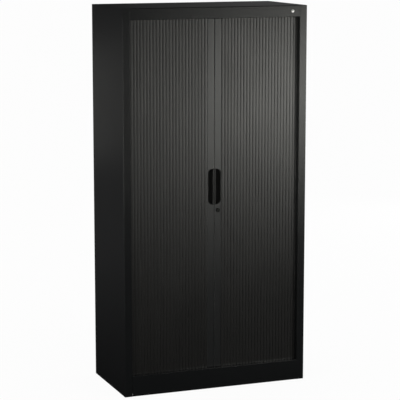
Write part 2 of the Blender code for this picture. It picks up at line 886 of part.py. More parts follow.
def shelf(name, slot_row):
    """Tray of sheet with its edges folded down and in again."""
    rim = ledge_height(slot_row) + SEAT_GAP
    face = rim + SHELF_EDGE
    reach = liner_face - SHELF_SIDE_CLEARANCE
    front = post_back + SHELF_FRONT_CLEARANCE
    back = back_clear - SHELF_BACK_CLEARANCE

    def ring(inset, height):
        return rectangle(-reach + inset, reach - inset, front + inset, back - inset, height)

    rings = [
        ring(FOLD_RADIUS, face),
        ring(0, face - FOLD_RADIUS),
        ring(0, rim),
        ring(SHELF_RETURN, rim),
        ring(SHELF_RETURN, rim + SHEET),
        ring(SHEET, rim + SHEET),
        ring(SHEET, face - FOLD_RADIUS - SHEET / 2),
        ring(FOLD_RADIUS + SHEET / 2, face - SHEET),
    ]
    return loft(name, rings, "inner paint")


def shelf_clip(name, side, column, slot_row):
    """Hooked plate that hangs in a liner slot and carries a corner of a shelf."""
    ledge = ledge_height(slot_row)
    inner = liner_face - SEAT_GAP
    outer = liner_face + SHEET + SEAT_GAP
    outline = [
        (inner - CLIP_REACH, ledge),
        (inner - CLIP_REACH, ledge - CLIP_EDGE),
        (inner, ledge - CLIP_DROP),
        (inner, ledge - TONGUE_HEIGHT),
        (outer, ledge - TONGUE_HEIGHT),
        (outer, ledge - TONGUE_HEIGHT - HOOK_DROP),
        (outer + HOOK_THICKNESS, ledge - TONGUE_HEIGHT - HOOK_DROP),
        (outer + HOOK_THICKNESS, ledge),
    ]
    low = column - CLIP_THICKNESS / 2
    return prism(name, mirrored(outline, side), low, low + CLIP_THICKNESS, "Y", "zinc")


def base_channel(name, side):
    """Channel along the foot of a side wall that carries two levelling feet."""
    outer = tray_half_width - CHANNEL_SHEET / 2
    inner = tray_half_width - CHANNEL_WIDTH + CHANNEL_SHEET / 2
    web = channel_web + CHANNEL_SHEET / 2
    rim = channel_web + CHANNEL_HEIGHT
    corners = mirrored([(outer, rim), (outer, web), (inner, web), (inner, rim)], side)
    piece = folded(
        name, corners, tray_front, back_clear, "Y", "inner paint", sheet=CHANNEL_SHEET, radius=CHANNEL_RADIUS
    )
    centres = [(side * foot_x, row) for row in foot_rows.values()]
    bore = FOOT_STEM_RADIUS + SEAT_GAP
    low = channel_web - CUT_OVERRUN
    high = channel_web + CHANNEL_SHEET + CUT_OVERRUN
    cut(piece, round_cutter(name + "_hole_cutter", "Z", centres, bore, low, high))
    return piece


def levelling_foot(name, side, row):
    """Glide pad on a threaded stem with a screwdriver slot in its upper end."""
    centre = (side * foot_x, row)
    profile = [
        (FOOT_PAD_RADIUS - FOOT_PAD_EDGE, 0),
        (FOOT_PAD_RADIUS, FOOT_PAD_EDGE),
        (FOOT_PAD_RADIUS, FOOT_PAD_HEIGHT - FOOT_PAD_EDGE),
        (FOOT_PAD_RADIUS - FOOT_PAD_EDGE, FOOT_PAD_HEIGHT),
        (FOOT_STEM_RADIUS, FOOT_PAD_HEIGHT),
        (FOOT_STEM_RADIUS, FOOT_STEM_HEIGHT),
    ]
    foot = turned(name, "Z", centre, profile, "zinc")
    reach = FOOT_STEM_RADIUS + CUT_OVERRUN
    floor = FOOT_STEM_HEIGHT - FOOT_SCREW_SLOT_DEPTH
    low = (centre[0] - reach, row - FOOT_SCREW_SLOT / 2, floor)
    high = (centre[0] + reach, row + FOOT_SCREW_SLOT / 2, FOOT_STEM_HEIGHT + CUT_OVERRUN)
    cut(foot, box_cutter(name + "_slot_cutter", [(low, high)]))
    return foot


def badge():
    """Blank disc with a softened edge on the header."""
    centre = (half_width - BADGE_SIDE_INSET, OVERALL_HEIGHT - BADGE_DROP)
    back = -half_depth - SEAT_GAP
    front = back - BADGE_THICKNESS
    profile = [
        (BADGE_RADIUS, back),
        (BADGE_RADIUS, front + BADGE_EDGE),
        (BADGE_RADIUS - BADGE_EDGE, front),
    ]
    return turned("badge", "Y", centre, profile, "bright metal")


# Assembly


def build_carcass():
    for word, side in SIDES.items():
        side_panel("side_panel_" + word, side)
        liner("liner_" + word, side)
        track("track_top_" + word, side, channel_ceiling, header_low)
        track("track_bottom_" + word, side, channel_floor, RAIL_HEIGHT)
        door_stop("door_stop_" + word, side)
        base_channel("base_channel_" + word, side)
    header()
    bottom_rail()
    top_panel()
    ceiling_tray()
    floor_tray()
    back_panel()
    badge()
    for number, slot_row in enumerate(SHELF_SLOTS, start=1):
        shelf(f"shelf_{number}", slot_row)
        for word, side in SIDES.items():
            for place, column in slot_columns.items():
                shelf_clip(f"shelf_clip_{number}_{word}_{place}", side, column, slot_row)


def build_doors():
    hook_cutter = hook_slot("hook_slot_cutter", HOOK_CLEARANCE / 2)
    middle = (post_low + post_high) / 2
    for word, side in SIDES.items():
        slide = joint_axis(word + "_door_slide", (side * lock_x, tip_line, middle))
        pieces = [
            post("post_" + word, side, hook_cutter),
            finger_pull("finger_pull_" + word, side),
            curtain("curtain_" + word, side),
            shoe("shoe_top_" + word, side, post_high, channel_ceiling - SEAT_GAP),
            shoe("shoe_bottom_" + word, side, post_low, channel_floor + SEAT_GAP),
        ]
        if word == "right":
            pieces += build_lock(slide)
        else:
            pieces.append(striker_plate())
        carry(slide, pieces)
        tail_slide = joint_axis(word + "_tail_slide", (side * hinge_side, tail_low, middle))
        carry(tail_slide, [tail_bar("tail_bar_" + word, side)])


def build_lock(door):
    """Adds the turning pieces on their own axis, and gives back the fixed housing."""
    centres = [(lock_x, lock_height)]
    radius = LOCK_BODY_RADIUS + SEAT_GAP
    ends = (tip_line - CUT_OVERRUN, tip_line + POST_WALL + CUT_OVERRUN)
    cut(bpy.data.objects["post_right"], round_cutter("lock_hole_cutter", "Y", centres, radius, *ends))
    ends = (cam_front - CUT_OVERRUN, nut_back + CUT_OVERRUN)
    stem_cutter = round_cutter("stem_hole_cutter", "Y", centres, stem_bore, *ends)
    turn = joint_axis("lock_turn", (lock_x, tip_line, lock_height))
    carry(turn, [lock_plug(), lock_cam(stem_cutter), lock_nut(stem_cutter)])
    turn.parent = door
    turn.location = turn.location - door.location
    return [lock_housing()]


def build_feet():
    for word, side in SIDES.items():
        for place, row in foot_rows.items():
            foot = levelling_foot(f"foot_{place}_{word}", side, row)
            carry(joint_axis(f"foot_{place}_{word}_slide", (side * foot_x, row, 0)), [foot])


clear_scene()
build_carcass()
build_doors()
build_feet()
print(f"slats {slat_count}, door travel {door_travel * 1000:.1f} mm")
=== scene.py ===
import math
from contextlib import contextmanager

import bmesh
import bpy
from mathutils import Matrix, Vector


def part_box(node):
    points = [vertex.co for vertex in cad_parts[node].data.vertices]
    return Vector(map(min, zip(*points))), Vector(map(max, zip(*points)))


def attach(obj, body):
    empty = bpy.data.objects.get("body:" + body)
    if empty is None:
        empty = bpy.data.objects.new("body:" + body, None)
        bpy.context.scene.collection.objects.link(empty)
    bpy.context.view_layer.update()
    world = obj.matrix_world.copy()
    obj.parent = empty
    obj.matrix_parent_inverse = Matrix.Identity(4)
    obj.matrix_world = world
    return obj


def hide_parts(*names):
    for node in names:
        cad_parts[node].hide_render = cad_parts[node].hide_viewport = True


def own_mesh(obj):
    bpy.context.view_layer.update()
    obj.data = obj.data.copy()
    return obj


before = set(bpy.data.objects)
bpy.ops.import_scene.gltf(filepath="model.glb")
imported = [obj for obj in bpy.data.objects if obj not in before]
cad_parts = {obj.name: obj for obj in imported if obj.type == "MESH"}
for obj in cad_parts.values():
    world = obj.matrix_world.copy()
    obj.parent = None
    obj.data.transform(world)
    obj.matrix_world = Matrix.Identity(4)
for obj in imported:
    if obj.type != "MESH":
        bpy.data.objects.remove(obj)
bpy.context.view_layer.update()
print("frame loaded")

sides = {"left": -1, "right": 1}


# modelling helpers, all on Blender's own operators

helperShape = {  # metres, but for the counts, the angle in degrees and the weight
    "reach": 2e-5, "facing": 0.9, "roundSegments": 48, "bevelSteps": 5, "smoothAngle": 32,
    "smoothWeight": 80,
}
facing = helperShape["facing"]  # share of a face's normal that has to lie along an axis


def clearSelection():
    bpy.ops.object.select_all(action="DESELECT")


@contextmanager
def editing(piece):
    clearSelection()
    piece.select_set(True)
    bpy.context.view_layer.objects.active = piece
    bpy.ops.object.mode_set(mode="EDIT")
    bpy.ops.mesh.select_all(action="SELECT")
    yield
    bpy.ops.object.mode_set(mode="OBJECT")


def pick(kind, test):
    # selects the faces, edges or vertices of the edited mesh that pass the test
    mesh = bmesh.from_edit_mesh(bpy.context.edit_object.data)
    parts = {"FACE": mesh.faces, "EDGE": mesh.edges, "VERT": mesh.verts}[kind]
    bpy.ops.mesh.select_mode(type=kind)
    bpy.ops.mesh.select_all(action="DESELECT")
    for part in parts:
        if test(part):
            part.select_set(True)
    mesh.select_flush_mode()
    bmesh.update_edit_mesh(bpy.context.edit_object.data)


def middle(part):
    # centre of a face or edge
    return sum((vert.co for vert in part.verts), Vector()) / len(part.verts)


def near(a, b, reach=helperShape["reach"]):
    return abs(a - b) < reach


def move(x=0, y=0, z=0):
    bpy.ops.transform.translate(value=(x, y, z))


def extrude(x=0, y=0, z=0):
    bpy.ops.mesh.extrude_region_move(TRANSFORM_OT_translate={"value": (x, y, z)})


def cutAt(place, normal):
    bpy.ops.mesh.select_all(action="SELECT")
    bpy.ops.mesh.bisect(plane_co=place, plane_no=normal)


def block(name, low, high):
    low, high = Vector(low), Vector(high)
    clearSelection()
    bpy.ops.mesh.primitive_cube_add(size=1, location=(low + high) / 2)
    piece = bpy.context.active_object
    piece.name = piece.data.name = name
    piece.scale = high - low
    bpy.ops.object.transform_apply(location=True, rotation=True, scale=True)
    return piece


def rod(name, place, radius, length, segments=helperShape["roundSegments"]):
    # a cylinder along Y whose middle lies at place
    clearSelection()
    bpy.ops.mesh.primitive_cylinder_add(
        vertices=segments, radius=radius, depth=length, location=place, rotation=(math.pi / 2, 0, 0)
    )
    piece = bpy.context.active_object
    piece.name = piece.data.name = name
    bpy.ops.object.transform_apply(location=True, rotation=True, scale=True)
    return piece


def finishWith(piece, kind, **settings):
    # adds a modifier and applies it
    modifier = piece.modifiers.new(kind.title(), kind)
    for key, value in settings.items():
        setattr(modifier, key, value)
    clearSelection()
    piece.select_set(True)
    bpy.context.view_layer.objects.active = piece
    bpy.ops.object.modifier_apply(modifier=modifier.name)


def smoothed(piece, angle=helperShape["smoothAngle"]):
    # smooth shading that keeps the large faces flat
    clearSelection()
    piece.select_set(True)
    bpy.context.view_layer.objects.active = piece
    bpy.ops.object.shade_smooth_by_angle(angle=math.radians(angle))
    finishWith(piece, "WEIGHTED_NORMAL", keep_sharp=True, weight=helperShape["smoothWeight"])
    return piece


def copyOf(piece, name):
    twin = piece.copy()
    twin.data = piece.data.copy()
    twin.name = twin.data.name = name
    bpy.context.collection.objects.link(twin)
    return twin


def joined(pieces, name):
    clearSelection()
    for piece in pieces:
        piece.select_set(True)
    bpy.context.view_layer.objects.active = pieces[0]
    bpy.ops.object.join()
    whole = bpy.context.active_object
    whole.name = whole.data.name = name
    bpy.ops.object.transform_apply(location=True, rotation=True, scale=True)
    return whole


# shader maths

class Wire:
    # one output of a node, whose sums, products and so on become Math nodes
    def __init__(self, paint, socket):
        self.paint = paint
        self.socket = socket

    def sum(self, other):
        return self.paint.maths("ADD", self, other)

    def product(self, other):
        return self.paint.maths("MULTIPLY", self, other)

    __add__ = __radd__ = sum
    __mul__ = __rmul__ = product

    def __sub__(self, other):
        return self.paint.maths("SUBTRACT", self, other)

    def __truediv__(self, other):
        return self.paint.maths("DIVIDE", self, other)

    def __pow__(self, other):
        return self.paint.maths("POWER", self, other)


class Paint:
    # the nodes of a material or world, and short ways to add more
    def __init__(self, owner):
        owner.use_nodes = True
        self.owner = owner
        self.tree = owner.node_tree
        self.tree.nodes.clear()

    def node(self, kind, settings=None, values=None, out=0):
        made = self.tree.nodes.new(kind)
        for key, value in (settings or {}).items():
            if key == "stops":
                ramp = made.color_ramp.elements
                while len(ramp) < len(value):
                    ramp.new(1)
                for element, (place, colour) in zip(ramp, value):
                    element.position = place
                    element.color = colour
            else:
                setattr(made, key, value)
        for key, value in (values or {}).items():
            socket = made.inputs[key]
            if isinstance(value, Wire):
                self.tree.links.new(value.socket, socket)
            else:
                socket.default_value = value
        return Wire(self, made.outputs[out]) if made.outputs else made

    def maths(self, operation, first, second=0.0):
        return self.node("ShaderNodeMath", {"operation": operation}, {0: first, 1: second})

    def blend(self, factor, first, second):
        # colours, which are this node's sockets 6 and 7 and its output 2
        settings = {"data_type": "RGBA", "clamp_factor": True}
        return self.node("ShaderNodeMix", settings, {0: factor, 6: first, 7: second}, out=2)

    def coords(self, scale=(1, 1, 1), place=(0, 0, 0)):
        # object coordinates
        here = self.node("ShaderNodeTexCoord", out=3)
        return self.node("ShaderNodeMapping", None, {"Vector": here, "Location": place, "Scale": scale})

    def axisOf(self, vector, axis):
        # one of the three numbers of a vector
        return self.node("ShaderNodeSeparateXYZ", None, {0: vector}, out="XYZ".index(axis))

    def noise(self, scale, detail=2.0, stretch=(1, 1, 1)):
        values = {"Vector": self.coords(stretch), "Scale": scale, "Detail": detail}
        return self.node("ShaderNodeTexNoise", None, values)

    def ramp(self, value, low, high, toLow=0.0, toHigh=1.0):
        values = {"Value": value, "From Min": low, "From Max": high, "To Min": toLow, "To Max": toHigh}
        return self.node("ShaderNodeMapRange", {"clamp": True}, values)

    def bump(self, height, distance=1.0):
        return self.node("ShaderNodeBump", None, {"Height": height, "Distance": distance, "Strength": 1.0})

    def surface(self, **inputs):
        # the shader itself, its sockets named in camelCase
        names = {
            "baseColor": "Base Color", "roughness": "Roughness", "metallic": "Metallic", "normal": "Normal",
            "specular": "Specular IOR Level",
        }
        values = {names[key]: value for key, value in inputs.items()}
        shader = self.node("ShaderNodeBsdfPrincipled", None, values)
        self.node("ShaderNodeOutputMaterial", None, {"Surface": shader})
        return self.owner


def newPaint(name):
    return Paint(bpy.data.materials.new(name))


def grey(level, warm=0.0):
    # warm is the share that red gains and blue loses
    return (level * (1 + warm), level, level * (1 - warm), 1)


def around(field, span):
    # a noise field turned into a change of up to half the span, up or down
    return (field - 0.5) * span


def tinted(paint, shade, tone, warm=0.0):
    # a plain tone that a shade about 1 makes lighter or darker
    return paint.blend(shade * 0.5, grey(0), grey(tone * 2, warm))


# finishes

coatFinish = {
    "tone": 0.0036, "warm": -0.1, "roughness": 0.25, "specular": 0.32, "patchScale": 2.4, "patchDetail": 4,
    "patchShare": 0.1, "patchGloss": 0.08, "peelScale": 620, "peelDepth": 0.00006, "rippleScale": 55,
    "rippleDepth": 0.00012, "dustTone": 0.03, "dustWarm": 0.05, "dustShare": 0.04, "dustScale": 9,
    "dustDetail": 6, "dustLie": (0.7, 1), "dustSpread": (0.35, 0.75), "dustGloss": 0.3, "innerTone": 1.2,
    "innerDulling": 0.08, "postTone": 1.2, "postDulling": 0.04, "postSpecular": 0.6,
}


def powderCoat(name, toneShare=1, dulling=0, specular=coatFinish["specular"]):
    # sprayed and baked coat: a fine orange peel on faint waves, with a trace of dust where it lies flat
    paint = newPaint(name)
    patches = paint.noise(coatFinish["patchScale"], coatFinish["patchDetail"])
    lie = paint.axisOf(paint.node("ShaderNodeNewGeometry", out=1), "Z")  # of the normal
    specks = paint.noise(coatFinish["dustScale"], coatFinish["dustDetail"])
    spread = paint.ramp(specks, *coatFinish["dustSpread"])
    dust = paint.ramp(lie, *coatFinish["dustLie"]) * spread * coatFinish["dustShare"]
    shade = 1 + around(patches, coatFinish["patchShare"])
    plain = tinted(paint, shade, coatFinish["tone"] * toneShare, coatFinish["warm"])
    dusty = paint.blend(dust, plain, grey(coatFinish["dustTone"], coatFinish["dustWarm"]))
    peel = paint.noise(coatFinish["peelScale"])
    ripple = paint.noise(coatFinish["rippleScale"])
    relief = paint.bump(peel * coatFinish["peelDepth"] + ripple * coatFinish["rippleDepth"])
    gloss = coatFinish["roughness"] + dulling + around(patches, coatFinish["patchGloss"])
    return paint.surface(
        baseColor=dusty, roughness=gloss + dust * coatFinish["dustGloss"], normal=relief, specular=specular
    )


slatFinish = {
    "tone": 0.0036, "warm": 0.02, "roughness": 0.3, "specular": 0.56, "drawScale": 1400, "drawDetail": 3,
    "drawStretch": (1, 1, 0.004), "drawDepth": 0.00002, "drawShare": 0.1, "drawGloss": 0.06,
    "grainScale": 900, "grainDepth": 0.00002, "patchScale": 3, "patchDetail": 3, "patchShare": 0.12,
    "patchGloss": 0.1,
}


def slatPlastic():
    # extruded slats: fine lines along their length and a soft grain
    paint = newPaint("slatPlastic")
    lines = paint.noise(slatFinish["drawScale"], slatFinish["drawDetail"], slatFinish["drawStretch"])
    grain = paint.noise(slatFinish["grainScale"])
    patches = paint.noise(slatFinish["patchScale"], slatFinish["patchDetail"])
    shade = 1 + around(patches, slatFinish["patchShare"]) + around(lines, slatFinish["drawShare"])
    gloss = around(patches, slatFinish["patchGloss"]) + around(lines, slatFinish["drawGloss"])
    relief = paint.bump(lines * slatFinish["drawDepth"] + grain * slatFinish["grainDepth"])
    return paint.surface(
        baseColor=tinted(paint, shade, slatFinish["tone"], slatFinish["warm"]),
        roughness=slatFinish["roughness"] + gloss, normal=relief, specular=slatFinish["specular"]
    )


mouldFinish = {
    "pullTone": 0.004, "pullRoughness": 0.5, "trackTone": 0.01, "trackRoughness": 0.45, "specular": 0.2,
    "grainScale": 1600, "grainDepth": 0.00005, "softScale": 40, "softDetail": 3, "softShare": 0.2,
    "softGloss": 0.1,
}


def mouldedPlastic(name, tone, roughness):
    # spark-eroded grain of a moulding
    paint = newPaint(name)
    grain = paint.noise(mouldFinish["grainScale"])
    soft = paint.noise(mouldFinish["softScale"], mouldFinish["softDetail"])
    return paint.surface(
        baseColor=tinted(paint, 1 + around(soft, mouldFinish["softShare"]), tone),
        roughness=roughness + around(soft, mouldFinish["softGloss"]),
        normal=paint.bump(grain, mouldFinish["grainDepth"]), specular=mouldFinish["specular"]
    )


# the rim tone is the plastic's own colour; the deep tone is painted shade inside the cup
cupFinish = {
    "rimTone": 0.004, "rimRoughness": 0.26, "paintedShadeTone": 0.0002, "cupRoughness": 0.9, "specular": 0.26,
    "fadeStart": 0.0008, "fadeEnd": 0.0022, "grainScale": 1600, "grainDepth": 0.00002, "softScale": 40,
    "softDetail": 3, "softGloss": 0.06,
}


def cupPlasticWithPaintedShade():
    # a satin rim round a mouth that grows dull with depth, with painted shade that darkens it with depth
    paint = newPaint("cupPlasticWithPaintedShade")
    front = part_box("finger_pull_left")[0].y
    deep = paint.axisOf(paint.coords(place=(0, -front, 0)), "Y")
    # painted shade: past the rim the colour darkens to near black with depth, while the roughness rises
    depthShadeAndDulling = paint.ramp(deep, cupFinish["fadeStart"], cupFinish["fadeEnd"])
    colour = paint.blend(depthShadeAndDulling, grey(cupFinish["rimTone"]), grey(cupFinish["paintedShadeTone"]))
    roughness = paint.ramp(depthShadeAndDulling, 0, 1, cupFinish["rimRoughness"], cupFinish["cupRoughness"])
    soft = paint.noise(cupFinish["softScale"], cupFinish["softDetail"])
    relief = paint.bump(paint.noise(cupFinish["grainScale"]), cupFinish["grainDepth"])
    return paint.surface(
        baseColor=colour, roughness=roughness + around(soft, cupFinish["softGloss"]), normal=relief,
        specular=cupFinish["specular"]
    )


plateFinish = {
    "tone": 0.5, "warm": 0.01, "roughness": 0.34, "cloudScale": 60, "cloudDetail": 5, "cloudShare": 0.3,
    "cloudGloss": 0.15, "toneShares": (0.8, 1.15), "streakScale": 900, "streakDetail": 3,
    "streakStretch": (1, 0.03, 1), "streakShare": 0.6, "depth": 0.00004,
}


def platedSteel():
    # rolled and plated sheet: drawn streaks under a cloudy plating
    paint = newPaint("zincPlate")
    clouds = paint.noise(plateFinish["cloudScale"], plateFinish["cloudDetail"])
    stretch = plateFinish["streakStretch"]
    streaks = paint.noise(plateFinish["streakScale"], plateFinish["streakDetail"], stretch)
    tone, warm = plateFinish["tone"], plateFinish["warm"]
    dull, bright = (grey(tone * share, warm) for share in plateFinish["toneShares"])
    share = plateFinish["streakShare"]
    return paint.surface(
        baseColor=paint.blend(0.5 + around(clouds, plateFinish["cloudShare"]), dull, bright),
        roughness=plateFinish["roughness"] + around(clouds, plateFinish["cloudGloss"]), metallic=1.0,
        normal=paint.bump(streaks * share + clouds * (1 - share), plateFinish["depth"])
    )


turnedFinish = {
    "ringTone": 0.008, "plugTone": 0.03, "lockRoughness": 0.42, "badgeTone": 0.42, "badgeRoughness": 0.32,
    "ringScale": 6000, "ringDetail": 3.0, "ringShare": 0.5, "ringGloss": 0.1, "toneShares": (0.85, 1.1),
    "cloudScale": 300, "cloudShare": 0.3, "depth": 0.00003,
}


def turnedMetal(name, tone, roughness, node):
    # faced on a lathe: fine rings about the piece's own axis
    paint = newPaint(name)
    centre = sum(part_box(node), Vector()) / 2
    centred = paint.coords(place=tuple(-centre))
    x, z = paint.axisOf(centred, "X"), paint.axisOf(centred, "Z")
    away = (x * x + z * z) ** 0.5
    values = {"W": away, "Scale": turnedFinish["ringScale"], "Detail": turnedFinish["ringDetail"]}
    rings = paint.node("ShaderNodeTexNoise", {"noise_dimensions": "1D"}, values)
    clouds = paint.noise(turnedFinish["cloudScale"])
    dull, bright = (grey(tone * share) for share in turnedFinish["toneShares"])
    return paint.surface(
        baseColor=paint.blend(0.5 + around(rings, turnedFinish["ringShare"]), dull, bright),
        roughness=roughness + around(rings, turnedFinish["ringGloss"]), metallic=1.0,
        normal=paint.bump(rings + clouds * turnedFinish["cloudShare"], turnedFinish["depth"])
    )


lockRoughness, badgeRoughness = turnedFinish["lockRoughness"], turnedFinish["badgeRoughness"]
finishes = {
    "outerCoat": powderCoat("outerCoat"),
    "innerCoat": powderCoat("innerCoat", coatFinish["innerTone"], coatFinish["innerDulling"]),
    "postCoat": powderCoat(
        "postCoat", coatFinish["postTone"], coatFinish["postDulling"], coatFinish["postSpecular"]
    ),
    "slatPlastic": slatPlastic(),
    "pullPlastic": mouldedPlastic("pullPlastic", mouldFinish["pullTone"], mouldFinish["pullRoughness"]),
    "cupPlasticWithPaintedShade": cupPlasticWithPaintedShade(),
    "trackPlastic": mouldedPlastic("trackPlastic", mouldFinish["trackTone"], mouldFinish["trackRoughness"]),
    "zincPlate": platedSteel(),
    "lockRing": turnedMetal("lockRing", turnedFinish["ringTone"], lockRoughness, "lock_housing"),
    "lockPlug": turnedMetal("lockPlug", turnedFinish["plugTone"], lockRoughness, "lock_plug"),
    "badgeMetal": turnedMetal("badgeMetal", turnedFinish["badgeTone"], badgeRoughness, "badge"),
}
print("finishes made")

nodeFinish = {  # finish of each CAD node, by the start of its name
    "side_panel": "outerCoat", "header": "outerCoat", "bottom_rail": "outerCoat",
    "top_panel": "outerCoat", "back_panel": "outerCoat", "base_channel": "innerCoat",
    "liner": "innerCoat", "ceiling_tray": "innerCoat", "floor_tray": "innerCoat",
    "shelf_clip": "zincPlate", "shelf": "innerCoat", "foot": "zincPlate",
    "post": "postCoat", "curtain": "slatPlastic", "tail_bar": "slatPlastic",
    "track": "trackPlastic", "door_stop": "pullPlastic", "shoe": "pullPlastic",
    "finger_pull": "pullPlastic", "striker_plate": "zincPlate", "lock": "zincPlate",
    "badge": "zincPlate",
}


def dress(piece, material):
    piece.data.materials.clear()
    piece.data.materials.append(material)


for nodeName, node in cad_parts.items():
    start = max((key for key in nodeFinish if nodeName.startswith(key)), key=len)
    dress(node, finishes[nodeFinish[start]])


def stand(piece, body, node, material):
    # the piece takes the place of a CAD node and moves with a body
    dress(piece, material)
    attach(piece, body)
    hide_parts(node)


# carcass sheet pieces

sheetShape = {
    "thickness": 0.001, "foldRadius": 0.0021, "foldSteps": 5, "frameReturn": 0.0267, "backFlange": 0.025,
    "railFoot": 0.018, "seamReach": 0.00028,
}


def rounded(test, radius, steps=helperShape["bevelSteps"]):
    # rounds the edges that pass the test
    pick("EDGE", test)
    bpy.ops.mesh.bevel(offset=radius, segments=steps, affect="EDGES")


def foldEdges(test):
    rounded(test, sheetShape["foldRadius"], sheetShape["foldSteps"])


def sheetFrom(piece, thickness=sheetShape["thickness"]):
    # gives the folded surface its thickness, inwards
    finishWith(piece, "SOLIDIFY", thickness=thickness, offset=-1, use_even_offset=True)
    return piece


def liesAlong(edge, axis):
    # an edge that runs along one axis only
    step = edge.verts[1].co - edge.verts[0].co
    return all(near(step[other], 0) for other in range(3) if other != "XYZ".index(axis))


def liesAtDepth(edge, depth):
    # an edge with both ends at one Y
    return all(near(vert.co.y, depth) for vert in edge.verts)


def sidePanel(word, side):
    # one sheet: a front stile with its return, the side, and a flange at the back
    node = "side_panel_" + word
    low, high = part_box(node)
    outer, inner = (high.x, low.x) if side > 0 else (low.x, high.x)
    returnBack = low.y + sheetShape["frameReturn"]
    flangeEdge = outer - side * sheetShape["backFlange"]
    piece = block("sidePanel_" + word, low, high)
    with editing(piece):
        cutAt((0, returnBack, 0), (0, 1, 0))
        cutAt((flangeEdge, 0, 0), (1, 0, 0))
        pick("FACE", lambda face: (
            abs(face.normal.z) > facing
            or near(middle(face).x, inner) and middle(face).y > returnBack
            or face.normal.y > facing and side * (flangeEdge - middle(face).x) > 0
        ))
        bpy.ops.mesh.delete(type="FACE")
        foldEdges(lambda edge: liesAlong(edge, "Z") and (
            near(middle(edge).y, low.y) and (near(middle(edge).x, outer) or near(middle(edge).x, inner))
            or near(middle(edge).y, high.y) and near(middle(edge).x, outer)
        ))
    stand(smoothed(sheetFrom(piece)), "carcass", node, finishes["outerCoat"])


def frontBar(node, name, bottomReach):
    # header or bottom rail: a face folded back along its top and bottom
    low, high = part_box(node)
    seam = Vector((sheetShape["seamReach"], 0, 0))
    piece = block(name, low - seam, high + seam)
    with editing(piece):
        if bottomReach < high.y:
            cutAt((0, bottomReach, 0), (0, 1, 0))
        pick("FACE", lambda face: (
            abs(face.normal.x) > facing or face.normal.y > facing
            or near(middle(face).z, low.z) and middle(face).y > bottomReach
        ))
        bpy.ops.mesh.delete(type="FACE")
        foldEdges(lambda edge: (
            near(middle(edge).y, low.y) and near(middle(edge).x, 0)
            and (near(middle(edge).z, low.z) or near(middle(edge).z, high.z))
        ))
    stand(smoothed(sheetFrom(piece)), "carcass", node, finishes["outerCoat"])


topShape = {
    "sheet": 0.001, "flange": 0.015, "edgeRadius": 0.0005, "edgeSteps": 3, "frontInset": 0.027,
    "sideInset": 0.0013, "backInset": 0.0054, "middleReach": 0.1,
}


def topPanel():
    # a lid with a flange turned down all round, set in from its edges
    low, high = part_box("top_panel")
    under = high.z - topShape["sheet"]
    piece = block("topPanel", (low.x, low.y, under), high)
    with editing(piece):
        pick("EDGE", lambda edge: near(middle(edge).z, high.z))
        bpy.ops.mesh.bevel(offset=topShape["edgeRadius"], segments=topShape["edgeSteps"], affect="EDGES")
        pick("FACE", lambda face: face.normal.z < -facing)
        bpy.ops.mesh.inset(thickness=topShape["sideInset"])
        front, back = low.y + topShape["sideInset"], high.y - topShape["sideInset"]
        pick("VERT", lambda vert: near(vert.co.z, under) and near(vert.co.y, front))
        move(y=topShape["frontInset"] - topShape["sideInset"])
        pick("VERT", lambda vert: near(vert.co.z, under) and near(vert.co.y, back))
        move(y=topShape["sideInset"] - topShape["backInset"])
        pick("FACE", lambda face: (
            face.normal.z < -facing and middle(face).xy.length < topShape["middleReach"]
        ))
        extrude(z=topShape["sheet"] - topShape["flange"])
        bpy.ops.mesh.inset(thickness=topShape["sheet"])
        extrude(z=topShape["flange"] - topShape["sheet"])
    stand(smoothed(piece), "carcass", "top_panel", finishes["outerCoat"])


for word, side in sides.items():
    sidePanel(word, side)
frontBar("header", "header_fascia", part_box("header")[1].y)
frontBar("bottom_rail", "bottomRail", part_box("bottom_rail")[0].y + sheetShape["railFoot"])
topPanel()
print("carcass sheets modelled")


# tambour slats

slatShape = {
    "pitch": 0.0173, "ridgeWidth": 0.015, "ridgeHeight": 0.0026, "shoulder": 0.0021, "shoulderSteps": 6,
    "crown": 0.0002, "crownReach": 0.0001, "web": 0.0032, "joint": 0.0001, "smoothAngle": 40,
    "cornerRadius": 0.028, "leadCount": 2,
}


def oneSlat(low, high):
    # an upright slat: its back at y = 0, its ridge towards -Y
    half = slatShape["ridgeWidth"] / 2
    web = slatShape["web"]
    front = -web - slatShape["ridgeHeight"]
    crownEnd = half - slatShape["shoulder"] - slatShape["crownReach"]
    wing = slatShape["pitch"] / 2 - half - slatShape["joint"] / 2
    piece = block("slat", (-half, front, low), (half, -web, high))
    with editing(piece):
        rounded(
            lambda edge: liesAlong(edge, "Z") and near(middle(edge).y, front),
            slatShape["shoulder"], slatShape["shoulderSteps"]
        )
        cutAt((0, 0, 0), (1, 0, 0))
        pick("VERT", lambda vert: vert.co.y < front + slatShape["crown"] and abs(vert.co.x) > crownEnd)
        move(y=slatShape["crown"])
        pick("FACE", lambda face: face.normal.y > facing)
        extrude(y=web)
        for way in (-1, 1):
            pick("FACE", lambda face: way * face.normal.x > facing and near(middle(face).y, -web / 2))
            extrude(x=way * wing)
    return smoothed(piece, slatShape["smoothAngle"])


